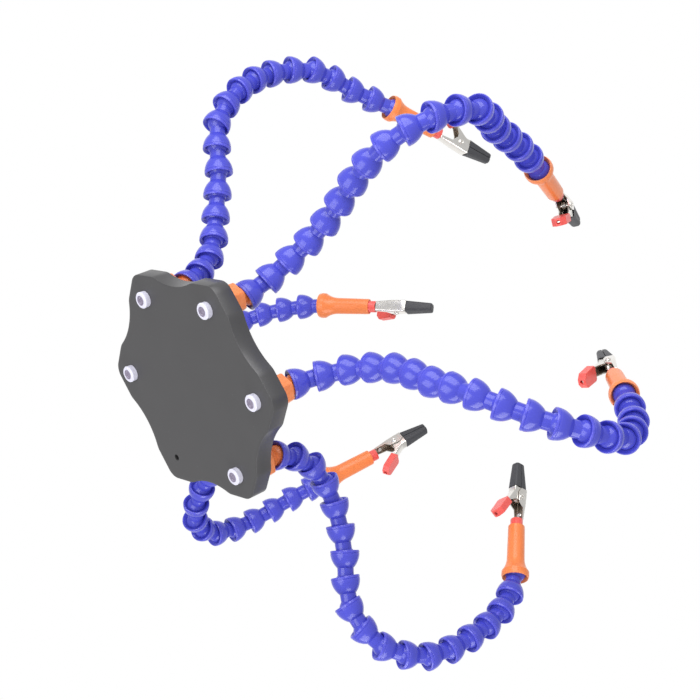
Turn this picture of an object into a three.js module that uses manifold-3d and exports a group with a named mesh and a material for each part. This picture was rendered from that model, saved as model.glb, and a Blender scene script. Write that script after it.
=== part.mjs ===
// Six-armed helping hands: a scalloped aluminium base on rubber feet, six arms of snap-together
// ball-and-socket links, and a spring clip in the nozzle at the end of each arm.
// Millimetres, +Z up. The origin is the centre of the base's flat underside.
import * as THREE from 'three';
import { mergeVertices } from 'three/addons/utils/BufferGeometryUtils.js';
import Module from 'manifold-3d';

const wasm = await Module();
wasm.setup();

const GAP = 0.3; // clearance between pieces that touch on the real tool

// base plate
const PLATE_THICKNESS = 10;
const LOBE_COUNT = 6;
const LOBE_CIRCLE = 52; // the arms and feet stand on this radius
const SIDE_DISTANCE = 57.9; // from the centre to the flat stretches of a side
const CORNER_RADIUS = 8;
const SCALLOP_CENTRE = 92.5; // the hollow in the middle of each side
const SCALLOP_RADIUS = 38;
const BLEND_RADIUS = 10; // between a hollow and the flats beside it
const EDGE_CHAMFER = 0.6;
const STEM_HOLE_RADIUS = 1.75;
const TAPPED_RADIUS = 6.7;
const TAPPED_DEPTH = 7;

// rubber feet, one missing under the lobe that shows its bare hole
const FOOT_RADIUS = 4.7;
const FOOT_HEIGHT = 3.6;
const FOOT_STEM_RADIUS = 1.4;
const BARE_LOBE = 4;

// ball-and-socket joint, shared by fittings, links and nozzles
const LINK_PITCH = 14;
const LINKS_PER_ARM = 18;
const LOWER_LINKS = 7;
const LINK_SIDES = 8;
const BALL_RADIUS = 5.8;
const SOCKET_RADIUS = 6.9;
const MOUTH_BACK = 3.6; // the socket's mouth lies this far behind the ball's centre
const NECK_BACK = 6; // the ball's neck starts this far behind its centre
const NECK_RADIUS = 3.2;
const LINK_PROFILE = [[-MOUTH_BACK, 7.8], [3.5, 7.8], [7.6, 4.4]];

// threaded fitting
const BALL_HEIGHT = 28; // first ball's centre above the base's underside
const HEX_RADIUS = 8.6;
const HEX_TOP = 19.5;
const THREAD_RADIUS = 6.3;
const THREAD_TIP = 3.6;

// nozzle
const NOZZLE_LENGTH = 30; // from the ball's centre to the open end
const NOZZLE_BORE = 4;
const NOZZLE_PROFILE = [[-MOUTH_BACK, 8], [-1, 8], [7, 5.8], [NOZZLE_LENGTH, 4.9]];

// spring clip: x runs forward from the nozzle's end, the lever rises on +y, the pin lies on z
const CLIP_LENGTH = 42;
const SLEEVE_RADIUS = 3.65;
const SLEEVE_TAIL = 9.6;
const SLEEVE_FRONT = 4.5;
const PIN_X = 18.5;
const PIN_RADIUS = 1;
const PIN_HOLE = 1.3;
const PIN_HEAD_RADIUS = 1.7;
const PIN_HALF = 4.7;
const SHEET = 0.7;
const COVER_START = 25;
const COVER_REAR = [4.9, 3.6]; // depth of one jaw's cover, and its half width
const COVER_TIP = [3.1, 2.8];
// stations of the folded halves: [x, floor y, edge y, half width]
const TANG = [SLEEVE_FRONT - 1, -2.7, -1.2, 3];
const TANG_END = [14, -3.7, -1.2, 3.9];
const WALLS = [13.8, -3.7, 1.6, 3.9];
const WALLS_END = [COVER_START - GAP, -4.7, 1.6, 3.9];
const BEND = [22.3, 4.7, -1.4, 2.8]; // where the moving half bends up into the lever
const BEND_REAR = [15.2, 9.1, -1.4, 2.8];
const BEND_FRONT = [COVER_START - GAP, 4.7, -1.4, 2.8];
const LEVER_ANGLE = THREE.MathUtils.degToRad(32);
const LEVER_LENGTH = 24;
const LEVER_SECTION = [5.2, 5.9, 2.9]; // lowest y, highest y and half width, on the level lever
const GRIP_LENGTH = 14.5;
const GRIP_SECTION = [3.4, 7.8, 4.5];
const GRIP_TIP_HALF = 4.1;
const SCREW_X = 8.2;
const SCREW_RADIUS = 1.5;
const SCREW_TOP = -1.7;
const WIRE_RADIUS = 0.35;
const COIL_RADIUS = 2;
const COIL_TURNS = 3;

// Each arm leaves its fitting upright and follows these points, about two links apart; the last
// point is the open end of its nozzle. roll turns the clip about the nozzle, in degrees.
const ARMS = [
  { name: 'arm_1', lobe: 0, roll: 13, route: [
    [63, -5, 53], [84, -7, 71], [108, -3, 85], [133, 0, 98], [147, 3, 122],
    [151, 2, 150], [144, 5, 177], [126, 3, 198], [106, 6, 218], [86, 5, 240]] },
  { name: 'arm_2', lobe: 1, roll: 135, route: [
    [32, 58, 51], [39, 81, 65], [48, 107, 72], [53, 134, 77], [53, 155, 94],
    [48, 158, 121], [40, 142, 143], [30, 129, 165], [18, 114, 186], [7, 97, 207]] },
  { name: 'arm_3', lobe: 2, roll: 178, route: [
    [-32, 58, 51], [-44, 82, 59], [-60, 105, 57], [-76, 128, 57], [-97, 144, 67],
    [-116, 155, 84], [-127, 151, 108], [-122, 138, 132], [-109, 123, 151], [-99, 104, 171]] },
  { name: 'arm_4', lobe: 3, roll: 195, route: [
    [-65, -9, 51], [-89, -19, 59], [-116, -26, 54], [-141, -31, 45], [-168, -28, 50],
    [-185, -24, 72], [-188, -19, 99], [-184, -18, 127], [-171, -21, 151], [-149, -24, 171]] },
  { name: 'arm_5', lobe: 4, roll: 232, route: [
    [-26, -58, 53], [-27, -82, 65], [-32, -109, 66], [-41, -135, 60], [-55, -160, 62],
    [-67, -176, 82], [-70, -174, 109], [-69, -161, 132], [-69, -147, 154], [-69, -135, 182]] },
  { name: 'arm_6', lobe: 5, roll: 323, route: [
    [20, -56, 53], [12, -77, 69], [7, -102, 79], [11, -128, 89], [23, -148, 104],
    [38, -153, 126], [47, -145, 151], [42, -130, 174], [31, -111, 191], [16, -89, 205]] },
];

const MATERIALS = {
  anodised: new THREE.MeshStandardMaterial({ color: 0x2c2d30, roughness: 0.45, metalness: 0.7 }),
  clearRubber: new THREE.MeshStandardMaterial({ color: 0xdcdcf2, roughness: 0.25, metalness: 0 }),
  blueAcetal: new THREE.MeshStandardMaterial({ color: 0x3a36d8, roughness: 0.3, metalness: 0 }),
  orangeAcetal: new THREE.MeshStandardMaterial({ color: 0xff7a2e, roughness: 0.35, metalness: 0 }),
  nickel: new THREE.MeshStandardMaterial({ color: 0xc9c5be, roughness: 0.3, metalness: 1 }),
  redVinyl: new THREE.MeshStandardMaterial({ color: 0xf04a4a, roughness: 0.4, metalness: 0 }),
};

// ---- solids and booleans ----

function toSolid(geometry) {
  const bare = geometry.clone();
  bare.deleteAttribute('normal');
  bare.deleteAttribute('uv');
  const merged = mergeVertices(bare, 1e-4);
  return new wasm.Manifold(new wasm.Mesh({
    numProp: 3,
    vertProperties: new Float32Array(merged.attributes.position.array),
    triVerts: new Uint32Array(merged.index.array),
  }));
}

function toGeometry(solid) {
  const mesh = solid.getMesh();
  const geometry = new THREE.BufferGeometry();
  geometry.setAttribute('position', new THREE.BufferAttribute(new Float32Array(mesh.vertProperties), 3));
  geometry.setIndex(new THREE.BufferAttribute(new Uint32Array(mesh.triVerts), 1));
  return geometry;
}

function union(...geometries) {
  return geometries.map(toSolid).reduce((sum, solid) => sum.add(solid));
}

// A cylinder whose axis lies on z, between two heights.
function postOnZ(radius, low, high, sides = 8) {
  const post = new THREE.CylinderGeometry(radius, radius, high - low, sides);
  post.rotateX(Math.PI / 2);
  post.translate(0, 0, (low + high) / 2);
  return post;
}

// A turned solid on the x axis, from [x, radius] pairs that start and end on the axis.
function turnedOnX(profile, sides) {
  const points = profile.map(([x, radius]) => new THREE.Vector2(radius, x));
  const turned = new THREE.LatheGeometry(points, sides);
  turned.rotateZ(-Math.PI / 2);
  return turned;
}

// A block from x0 to x1 whose ends are given as [lowest y, highest y, half width].
function taperedBlock(x0, x1, rear, front) {
  const block = new THREE.BoxGeometry(1, 1, 1);
  const corners = block.attributes.position;
  for (let i = 0; i < corners.count; i += 1) {
    const atFront = corners.getX(i) > 0;
    const [low, high, half] = atFront ? front : rear;
    const y = corners.getY(i) > 0 ? high : low;
    const z = corners.getZ(i) > 0 ? half : -half;
    corners.setXYZ(i, atFront ? x1 : x0, y, z);
  }
  return block;
}

// ---- base ----

function plateOutline() {
  const outline = new THREE.Shape();
  const half = Math.PI / LOBE_COUNT;
  const cornerCentre = (SIDE_DISTANCE - CORNER_RADIUS) / Math.cos(half);
  // a hollow and its blends touch on the lines between their centres
  const reach = BLEND_RADIUS + SCALLOP_RADIUS;
  const blendDepth = SIDE_DISTANCE - BLEND_RADIUS;
  const blendAngle = Math.acos((SCALLOP_CENTRE - blendDepth) / reach);
  const blendSide = reach * Math.sin(blendAngle);
  const sweep = (depth, side, turn, radius, start, end) => {
    const x = depth * Math.cos(turn) - side * Math.sin(turn);
    const y = depth * Math.sin(turn) + side * Math.cos(turn);
    outline.absarc(x, y, radius, turn + start, turn + end, end < start);
  };
  for (let lobe = 0; lobe < LOBE_COUNT; lobe += 1) {
    const turn = 2 * half * lobe;
    const sideTurn = turn + half;
    sweep(cornerCentre, 0, turn, CORNER_RADIUS, -half, half);
    sweep(blendDepth, -blendSide, sideTurn, BLEND_RADIUS, 0, blendAngle);
    sweep(SCALLOP_CENTRE, 0, sideTurn, SCALLOP_RADIUS, Math.PI + blendAngle, Math.PI - blendAngle);
    sweep(blendDepth, blendSide, sideTurn, BLEND_RADIUS, -blendAngle, 0);
  }
  return outline;
}

function lobePoint(lobe) {
  const angle = (2 * Math.PI * lobe) / LOBE_COUNT;
  return [LOBE_CIRCLE * Math.cos(angle), LOBE_CIRCLE * Math.sin(angle)];
}

function basePlate() {
  const slab = new THREE.ExtrudeGeometry(plateOutline(), {
    depth: PLATE_THICKNESS - 2 * EDGE_CHAMFER,
    curveSegments: 2,
    bevelThickness: EDGE_CHAMFER,
    bevelSize: EDGE_CHAMFER,
    bevelOffset: -EDGE_CHAMFER,
    bevelSegments: 1,
  });
  slab.translate(0, 0, EDGE_CHAMFER);
  let plate = toSolid(slab);
  for (let lobe = 0; lobe < LOBE_COUNT; lobe += 1) {
    const [x, y] = lobePoint(lobe);
    const stemHole = postOnZ(STEM_HOLE_RADIUS, -1, PLATE_THICKNESS, 12);
    const tappedHole = postOnZ(TAPPED_RADIUS, PLATE_THICKNESS - TAPPED_DEPTH, PLATE_THICKNESS + 1, 16);
    plate = plate.subtract(union(stemHole, tappedHole).translate([x, y, 0]));
  }
  return toGeometry(plate);
}

// A foot's dome with its push-in stem, upright on the lobe's hole.
function foot() {
  const profile = [
    [FOOT_STEM_RADIUS + 1, 0], [FOOT_STEM_RADIUS + 1, FOOT_STEM_RADIUS], [-GAP, FOOT_STEM_RADIUS],
    [-GAP, FOOT_RADIUS], [-1.8, FOOT_RADIUS - 0.2], [-FOOT_HEIGHT, FOOT_RADIUS - 1.6], [-FOOT_HEIGHT, 0],
  ];
  const turned = turnedOnX(profile.reverse(), 12);
  turned.rotateY(-Math.PI / 2);
  return turned;
}

// ---- arms ----

// A ball centred at x, from its neck to its pole.
function ballProfile(x) {
  const rings = [36, 72, 108, 144].map((degrees) => {
    const angle = THREE.MathUtils.degToRad(degrees);
    return [x - BALL_RADIUS * Math.cos(angle), BALL_RADIUS * Math.sin(angle)];
  });
  return [[x - NECK_BACK, NECK_RADIUS], ...rings, [x + BALL_RADIUS, 0]];
}

// The inside of a socket centred at x, from its pole back to its mouth.
function socketProfile(x) {
  const mouth = Math.sqrt(SOCKET_RADIUS ** 2 - MOUTH_BACK ** 2);
  const wall = [55, 90].map((degrees) => {
    const angle = THREE.MathUtils.degToRad(degrees);
    return [x + SOCKET_RADIUS * Math.cos(angle), SOCKET_RADIUS * Math.sin(angle)];
  });
  return [[x + SOCKET_RADIUS, 0], [x + SOCKET_RADIUS, 2.6], ...wall, [x - MOUTH_BACK, mouth]];
}

// A threaded fitting: the hexagon, and the turned shank, neck and ball.
function fitting() {
  const hex = new THREE.CylinderGeometry(HEX_RADIUS, HEX_RADIUS, HEX_TOP - PLATE_THICKNESS - GAP, 6);
  hex.rotateX(Math.PI / 2);
  hex.translate(0, 0, (HEX_TOP + PLATE_THICKNESS + GAP) / 2);
  const thread = [[THREAD_TIP, 0], [THREAD_TIP, THREAD_RADIUS], [HEX_TOP - 2, THREAD_RADIUS]];
  const turned = turnedOnX([...thread, ...ballProfile(BALL_HEIGHT)], 12);
  turned.rotateY(-Math.PI / 2);
  return toGeometry(union(hex, turned));
}

// Centres of an arm's ball joints, one link pitch apart along its route.
function jointCentres(arm) {
  const [x, y] = lobePoint(arm.lobe);
  const route = [[x, y, 0], [x, y, BALL_HEIGHT], ...arm.route].map((point) => new THREE.Vector3(...point));
  const curve = new THREE.CatmullRomCurve3(route, false, 'catmullrom', 0.5);
  let reached = 1 / (route.length - 1);
  const centres = [curve.getPoint(reached)];
  while (centres.length <= LINKS_PER_ARM) {
    const last = centres[centres.length - 1];
    let near = reached;
    let far = reached + 0.15;
    for (let i = 0; i < 40; i += 1) {
      reached = (near + far) / 2;
      if (curve.getPoint(reached).distanceTo(last) < LINK_PITCH) near = reached;
      else far = reached;
    }
    centres.push(curve.getPoint(reached));
  }
  const nozzleEnd = route[route.length - 1];
  return { centres, nozzleEnd };
}

// One closed skin over a run of links: socket, link profiles bending at each joint, last ball.
function linkRun(centres, first, count) {
  const rings = [];
  const addRing = (link, x, radius) => {
    const axis = centres[link + 1].clone().sub(centres[link]).normalize();
    rings.push({ centre: centres[link].clone().addScaledVector(axis, x), axis, radius });
  };
  socketProfile(0).forEach(([x, radius]) => addRing(first, x, radius));
  for (let link = first; link < first + count; link += 1) {
    LINK_PROFILE.forEach(([x, radius]) => addRing(link, x, radius));
  }
  ballProfile(LINK_PITCH).forEach(([x, radius]) => addRing(first + count - 1, x, radius));
  return skin(rings, LINK_SIDES);
}

// A closed surface through rings whose first and last have no radius. The ring's start
// direction is carried from ring to ring so that the surface doesn't twist.
function skin(rings, sides) {
  const positions = [];
  const faces = [];
  const side = new THREE.Vector3(0, 0, 1).cross(rings[0].axis);
  if (side.lengthSq() < 0.01) side.set(1, 0, 0);
  const inner = rings.slice(1, -1);
  positions.push(...rings[0].centre.toArray());
  inner.forEach(({ centre, axis, radius }) => {
    side.addScaledVector(axis, -side.dot(axis)).normalize();
    const up = axis.clone().cross(side);
    for (let i = 0; i < sides; i += 1) {
      const angle = (2 * Math.PI * i) / sides;
      const point = centre.clone();
      point.addScaledVector(side, radius * Math.cos(angle));
      point.addScaledVector(up, radius * Math.sin(angle));
      positions.push(...point.toArray());
    }
  });
  positions.push(...rings[rings.length - 1].centre.toArray());
  const lastPoint = positions.length / 3 - 1;
  const at = (ring, i) => 1 + ring * sides + (i % sides);
  for (let i = 0; i < sides; i += 1) {
    faces.push(0, at(0, i + 1), at(0, i));
    for (let ring = 0; ring < inner.length - 1; ring += 1) {
      faces.push(at(ring, i), at(ring, i + 1), at(ring + 1, i));
      faces.push(at(ring, i + 1), at(ring + 1, i + 1), at(ring + 1, i));
    }
    faces.push(at(inner.length - 1, i), at(inner.length - 1, i + 1), lastPoint);
  }
  const geometry = new THREE.BufferGeometry();
  geometry.setAttribute('position', new THREE.Float32BufferAttribute(positions, 3));
  geometry.setIndex(faces);
  return geometry;
}

function nozzle() {
  const [, [socketFloor], ...socketWall] = socketProfile(0);
  const bore = [[NOZZLE_LENGTH, NOZZLE_BORE], [socketFloor, NOZZLE_BORE]];
  const points = [...NOZZLE_PROFILE, ...bore, ...socketWall, NOZZLE_PROFILE[0]];
  const loop = points.map(([x, radius]) => new THREE.Vector2(radius, x));
  const turned = new THREE.LatheGeometry(loop, 12);
  turned.rotateZ(-Math.PI / 2);
  return turned;
}

// ---- spring clip ----

// Folded sheet between two stations: a tapered block, hollowed out from its edge's side.
function foldedSheet([x0, floor0, edge0, half0], [x1, floor1, edge1, half1]) {
  const inward = Math.sign(edge0 - floor0);
  const span = (a, b, half) => [Math.min(a, b), Math.max(a, b), half];
  const hollow = (floor, edge, half) => span(floor + inward * SHEET, edge + inward, half - SHEET);
  const outside = taperedBlock(x0, x1, span(floor0, edge0, half0), span(floor1, edge1, half1));
  const inside = taperedBlock(x0 - 1, x1 + 1, hollow(floor0, edge0, half0), hollow(floor1, edge1, half1));
  return toSolid(outside).subtract(toSolid(inside));
}

// A jaw's rubber cover with the sheet's end that it is pushed on; side tells which jaw.
function jawCover(side) {
  const span = (near, far) => (side > 0 ? [near, far] : [-far, -near]);
  const [rearDepth, rearHalf] = COVER_REAR;
  const [tipDepth, tipHalf] = COVER_TIP;
  const rear = [...span(GAP / 2, rearDepth), rearHalf];
  const tip = [...span(GAP / 2, tipDepth), tipHalf];
  const cover = taperedBlock(COVER_START, CLIP_LENGTH, rear, tip);
  const floorSpan = [...span(BEND[1] - SHEET, BEND[1]), BEND[3]];
  const tongue = taperedBlock(COVER_START - 1, COVER_START + 1, floorSpan, floorSpan);
  return union(cover, tongue);
}

function pinHole() {
  const hole = postOnZ(PIN_HOLE, -PIN_HALF, PIN_HALF);
  hole.translate(PIN_X, 0, 0);
  return toSolid(hole);
}

// The half that plugs into the nozzle, with its vinyl sleeve, wire screw and jaw cover.
function fixedJaw() {
  const sleeve = postOnZ(SLEEVE_RADIUS, -SLEEVE_TAIL, SLEEVE_FRONT, 10);
  sleeve.rotateY(Math.PI / 2);
  const screw = postOnZ(SCREW_RADIUS, TANG[1], SCREW_TOP);
  screw.rotateX(-Math.PI / 2);
  screw.translate(SCREW_X, 0, 0);
  const sheet = foldedSheet(TANG, TANG_END).add(foldedSheet(WALLS, WALLS_END)).subtract(pinHole());
  return toGeometry(union(sleeve, screw).add(sheet).add(jawCover(-1)));
}

// The half that opens, with its lever and its jaw's cover.
function movingJaw() {
  const lever = taperedBlock(-LEVER_LENGTH + 1, 0, LEVER_SECTION, LEVER_SECTION);
  placeOnLever(lever);
  const sheet = foldedSheet(BEND_REAR, BEND).add(foldedSheet(BEND, BEND_FRONT)).subtract(pinHole());
  return toGeometry(sheet.add(toSolid(lever)).add(jawCover(1)));
}

// Turns a piece drawn along the level lever about the pin, up to where the lever stands.
function placeOnLever(geometry) {
  geometry.rotateZ(-LEVER_ANGLE);
  geometry.translate(PIN_X, 0, 0);
}

// The vinyl grip pushed over the lever's end; its pocket is open towards the pin.
function leverGrip() {
  const front = -LEVER_LENGTH + GRIP_LENGTH;
  const [gripLow, gripHigh] = GRIP_SECTION;
  const grip = taperedBlock(-LEVER_LENGTH, front, [gripLow, gripHigh, GRIP_TIP_HALF], GRIP_SECTION);
  const [low, high, half] = LEVER_SECTION;
  const room = [low - GAP, high + GAP, half + GAP];
  const pocket = taperedBlock(-LEVER_LENGTH + 1 - GAP, front + 1, room, room);
  const geometry = toGeometry(toSolid(grip).subtract(toSolid(pocket)));
  placeOnLever(geometry);
  return geometry;
}

function pivotPin() {
  const shank = postOnZ(PIN_RADIUS, -PIN_HALF, PIN_HALF);
  const headBase = WALLS[3] + GAP;
  const upperHead = postOnZ(PIN_HEAD_RADIUS, headBase, PIN_HALF);
  const lowerHead = postOnZ(PIN_HEAD_RADIUS, -PIN_HALF, -headBase);
  return toGeometry(union(shank, upperHead, lowerHead).translate([PIN_X, 0, 0]));
}

// A torsion spring round the pin, its tail resting on the fixed half.
function torsionSpring() {
  const points = [new THREE.Vector3(PIN_X - 5.5, -COIL_RADIUS - 0.2, -1.4)];
  const steps = COIL_TURNS * 8;
  for (let i = 0; i <= steps; i += 1) {
    const angle = -Math.PI / 2 + (2 * Math.PI * COIL_TURNS * i) / steps;
    const z = -1.4 + (2.8 * i) / steps;
    points.push(new THREE.Vector3(PIN_X + COIL_RADIUS * Math.cos(angle), COIL_RADIUS * Math.sin(angle), z));
  }
  const section = new THREE.Shape();
  section.absarc(0, 0, WIRE_RADIUS, 0, 2 * Math.PI, false);
  return new THREE.ExtrudeGeometry(section, {
    steps: 28,
    curveSegments: 2,
    extrudePath: new THREE.CatmullRomCurve3(points, false, 'catmullrom', 0.5),
  });
}

// ---- assembly ----

const part = new THREE.Group();

function addPiece(group, name, geometry, material) {
  const mesh = new THREE.Mesh(geometry, material);
  mesh.name = name;
  group.add(mesh);
  return mesh;
}

function addBase() {
  addPiece(part, 'base_plate', basePlate(), MATERIALS.anodised);
  for (let lobe = 0; lobe < LOBE_COUNT; lobe += 1) {
    if (lobe !== BARE_LOBE) {
      const mesh = addPiece(part, `foot_${lobe + 1}`, foot(), MATERIALS.clearRubber);
      mesh.position.set(...lobePoint(lobe), 0);
    }
  }
}

// The nozzle's frame: x along the nozzle from the last ball, the clip's lever rising on +y.
function nozzleFrame(last, nozzleEnd, roll) {
  const x = nozzleEnd.clone().sub(last).normalize();
  const z = x.clone().cross(new THREE.Vector3(0, 0, 1)).normalize();
  const y = z.clone().cross(x);
  const frame = new THREE.Group();
  frame.position.copy(last);
  frame.quaternion.setFromRotationMatrix(new THREE.Matrix4().makeBasis(x, y, z));
  frame.rotateX(THREE.MathUtils.degToRad(roll));
  return frame;
}

function addArm(arm) {
  const { centres, nozzleEnd } = jointCentres(arm);
  const stem = addPiece(part, `${arm.name}_fitting`, fitting(), MATERIALS.orangeAcetal);
  stem.position.set(...lobePoint(arm.lobe), 0);
  const lowerRun = linkRun(centres, 0, LOWER_LINKS);
  const upperRun = linkRun(centres, LOWER_LINKS, LINKS_PER_ARM - LOWER_LINKS);
  addPiece(part, `${arm.name}_lower_links`, lowerRun, MATERIALS.blueAcetal);
  addPiece(part, `${arm.name}_upper_links`, upperRun, MATERIALS.blueAcetal);

  const frame = nozzleFrame(centres[LINKS_PER_ARM], nozzleEnd, arm.roll);
  part.add(frame);
  addPiece(frame, `${arm.name}_nozzle`, nozzle(), MATERIALS.orangeAcetal);
  const clip = new THREE.Group();
  clip.position.x = NOZZLE_LENGTH;
  frame.add(clip);
  addPiece(clip, `${arm.name}_clip_fixed_jaw`, fixedJaw(), MATERIALS.nickel);
  addPiece(clip, `${arm.name}_clip_moving_jaw`, movingJaw(), MATERIALS.nickel);
  addPiece(clip, `${arm.name}_clip_lever_grip`, leverGrip(), MATERIALS.redVinyl);
  addPiece(clip, `${arm.name}_clip_pivot_pin`, pivotPin(), MATERIALS.nickel);
  addPiece(clip, `${arm.name}_clip_spring`, torsionSpring(), MATERIALS.nickel);
}

addBase();
ARMS.forEach(addArm);

export default part;
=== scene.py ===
import math

import bmesh
import bpy
from mathutils import Matrix, Vector


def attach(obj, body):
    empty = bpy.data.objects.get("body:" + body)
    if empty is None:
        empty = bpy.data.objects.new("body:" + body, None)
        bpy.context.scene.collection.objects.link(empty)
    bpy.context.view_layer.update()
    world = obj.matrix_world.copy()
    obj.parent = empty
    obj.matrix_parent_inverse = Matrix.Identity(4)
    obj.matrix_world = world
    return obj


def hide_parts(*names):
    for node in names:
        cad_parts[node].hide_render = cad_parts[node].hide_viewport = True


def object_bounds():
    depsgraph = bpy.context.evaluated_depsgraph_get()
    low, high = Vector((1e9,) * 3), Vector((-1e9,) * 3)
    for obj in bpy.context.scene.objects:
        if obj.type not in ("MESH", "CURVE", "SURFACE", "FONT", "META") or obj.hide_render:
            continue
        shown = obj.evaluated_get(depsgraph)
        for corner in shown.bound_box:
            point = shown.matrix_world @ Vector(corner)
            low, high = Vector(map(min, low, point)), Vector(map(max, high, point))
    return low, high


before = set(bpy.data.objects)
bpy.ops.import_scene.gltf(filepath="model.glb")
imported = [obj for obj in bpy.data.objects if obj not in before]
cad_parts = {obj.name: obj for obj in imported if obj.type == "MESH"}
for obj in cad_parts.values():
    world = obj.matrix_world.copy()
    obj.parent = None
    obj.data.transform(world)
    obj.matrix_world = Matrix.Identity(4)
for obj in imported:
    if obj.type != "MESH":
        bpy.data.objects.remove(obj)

MM = 0.001
UP = Vector((0, 0, 1))
cad_low, cad_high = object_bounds()

# base
LOBES = 6
BARE_LOBE = 4  # the foot is missing here
LOBE_CIRCLE = 52
SIDE_DISTANCE = 57.9  # from the centre to the flat stretches of a side
CORNER_RADIUS = 8
SCALLOP_CENTRE = 92.5  # the hollow in the middle of each side
SCALLOP_RADIUS = 38
BLEND_RADIUS = 10  # between a hollow and the flats beside it
PLATE_TOP = 10
TAPPED_FLOOR = 3
STEM_HOLE_RADIUS = 1.75
TAPPED_RADIUS = 6.7

# links, fittings and nozzles share one ball-and-socket joint
LINK_PITCH = 14
LINKS_PER_ARM = 18
LOWER_LINKS = 7
BALL_RADIUS = 6.1
SOCKET_RADIUS = 6.2
NECK_RADIUS = 4.5
BORE_RADIUS = 3.1
RIM_BACK = 3.6  # a socket's rim stands this far behind the ball's centre
LIP_BACK = 2.2  # where a link's socket leaves its sphere for the flare of the mouth
NOZZLE_LIP_BACK = 1.2  # a nozzle's mouth flares from further in, so that it can tilt further
RIM_RADIUS = 8
DOME_START = -2.6  # the dome's arc, which narrows a link from its rim to its neck
DOME_ARC = 12
FILLET = 0.15  # between the dome and the neck
NECK_END = 4.6  # the neck meets the ball this far behind the ball's centre
THREAD_PITCH = 1.2
BALL_HEIGHT = 28  # an arm's first ball above the base's underside
HEX_TOP = 19.5
HEX_RADIUS = 8.6
NOZZLE_LENGTH = 30
NOZZLE_BORE = 4

# spring clip: x forward from the nozzle's end, the lever rises on +y, the rivet lies on z
SLEEVE_RADIUS = 3.65
PIN_X = 18.5
SCREW_X = 8.2
COVER_START = 25
CLIP_LENGTH = 42
OUTER_HALF = 3.9
INNER_HALF = 2.9
SHEET = 0.6
LEVER_ANGLE = math.radians(32)
LEVER_LENGTH = 24
GRIP_LENGTH = 14.5
GRIP_LOW, GRIP_HIGH = 3.4, 7.8  # from the level lever's pivot line

# Each arm leaves its fitting upright and follows these points, in metres, about two links
# apart; the last one is the open end of its nozzle. roll turns the clip about the nozzle.
ARMS = [
    ("arm_1", 0, 13, [
        (0.063, -0.005, 0.053), (0.084, -0.007, 0.071), (0.108, -0.003, 0.085), (0.133, 0.000, 0.098),
        (0.147, 0.003, 0.122), (0.151, 0.002, 0.150), (0.144, 0.005, 0.177), (0.126, 0.003, 0.198),
        (0.106, 0.006, 0.218), (0.086, 0.005, 0.240)]),
    ("arm_2", 1, 135, [
        (0.032, 0.058, 0.051), (0.039, 0.081, 0.065), (0.048, 0.107, 0.072), (0.053, 0.134, 0.077),
        (0.053, 0.155, 0.094), (0.048, 0.158, 0.121), (0.040, 0.142, 0.143), (0.030, 0.129, 0.165),
        (0.018, 0.114, 0.186), (0.007, 0.097, 0.207)]),
    ("arm_3", 2, 178, [
        (-0.032, 0.058, 0.051), (-0.044, 0.082, 0.059), (-0.060, 0.105, 0.057), (-0.076, 0.128, 0.057),
        (-0.097, 0.144, 0.067), (-0.116, 0.155, 0.084), (-0.127, 0.151, 0.108), (-0.122, 0.138, 0.132),
        (-0.109, 0.123, 0.151), (-0.099, 0.104, 0.171)]),
    ("arm_4", 3, 195, [
        (-0.065, -0.009, 0.051), (-0.089, -0.019, 0.059), (-0.116, -0.026, 0.054), (-0.141, -0.031, 0.045),
        (-0.168, -0.028, 0.050), (-0.185, -0.024, 0.072), (-0.188, -0.019, 0.099), (-0.184, -0.018, 0.127),
        (-0.171, -0.021, 0.151), (-0.149, -0.024, 0.171)]),
    ("arm_5", 4, 232, [
        (-0.026, -0.058, 0.053), (-0.027, -0.082, 0.065), (-0.032, -0.109, 0.066), (-0.041, -0.135, 0.060),
        (-0.055, -0.160, 0.062), (-0.067, -0.176, 0.082), (-0.070, -0.174, 0.109), (-0.069, -0.161, 0.132),
        (-0.069, -0.147, 0.154), (-0.069, -0.135, 0.182)]),
    ("arm_6", 5, 323, [
        (0.020, -0.056, 0.053), (0.012, -0.077, 0.069), (0.007, -0.102, 0.079), (0.011, -0.128, 0.089),
        (0.023, -0.148, 0.104), (0.038, -0.153, 0.126), (0.047, -0.145, 0.151), (0.042, -0.130, 0.174),
        (0.031, -0.111, 0.191), (0.016, -0.089, 0.205)]),
]


# ---- camera, stage and light ----

# where the camera stands, and the ways that its back and its right side face
CAMERA_PLACE = Vector((-0.1030, 0.7107, -0.4627))
CAMERA_BACK = Vector((-0.0953, 0.7781, -0.6209))
CAMERA_RIGHT = Vector((-0.4685, 0.5152, 0.7176))
LENS = 84.15


def wire(tree, kind, links=(), **settings):
    """A node of that kind, with its settings, and with (its input, where it comes from) links."""
    node = tree.nodes.new(kind)
    for name, value in settings.items():
        setattr(node, name, value)
    for socket, source in links:
        if isinstance(source, bpy.types.NodeSocket):
            tree.links.new(source, node.inputs[socket])
        else:
            node.inputs[socket].default_value = source
    return node


def turned_to(back, across):
    """The rotation whose +Z is back and whose +X is as near across as it can be."""
    z = back.normalized()
    y = z.cross(across).normalized()
    return Matrix((y.cross(z), y, z)).transposed()


def set_camera():
    data = bpy.data.cameras.new("bench_camera")
    data.lens = LENS
    data.sensor_width = 36
    data.clip_start = 0.01
    camera = bpy.data.objects.new("bench_camera", data)
    bpy.context.scene.collection.objects.link(camera)
    turn = turned_to(CAMERA_BACK, CAMERA_RIGHT)
    camera.matrix_world = Matrix.Translation(CAMERA_PLACE) @ turn.to_4x4()
    bpy.context.scene.camera = camera
    return turn


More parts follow.
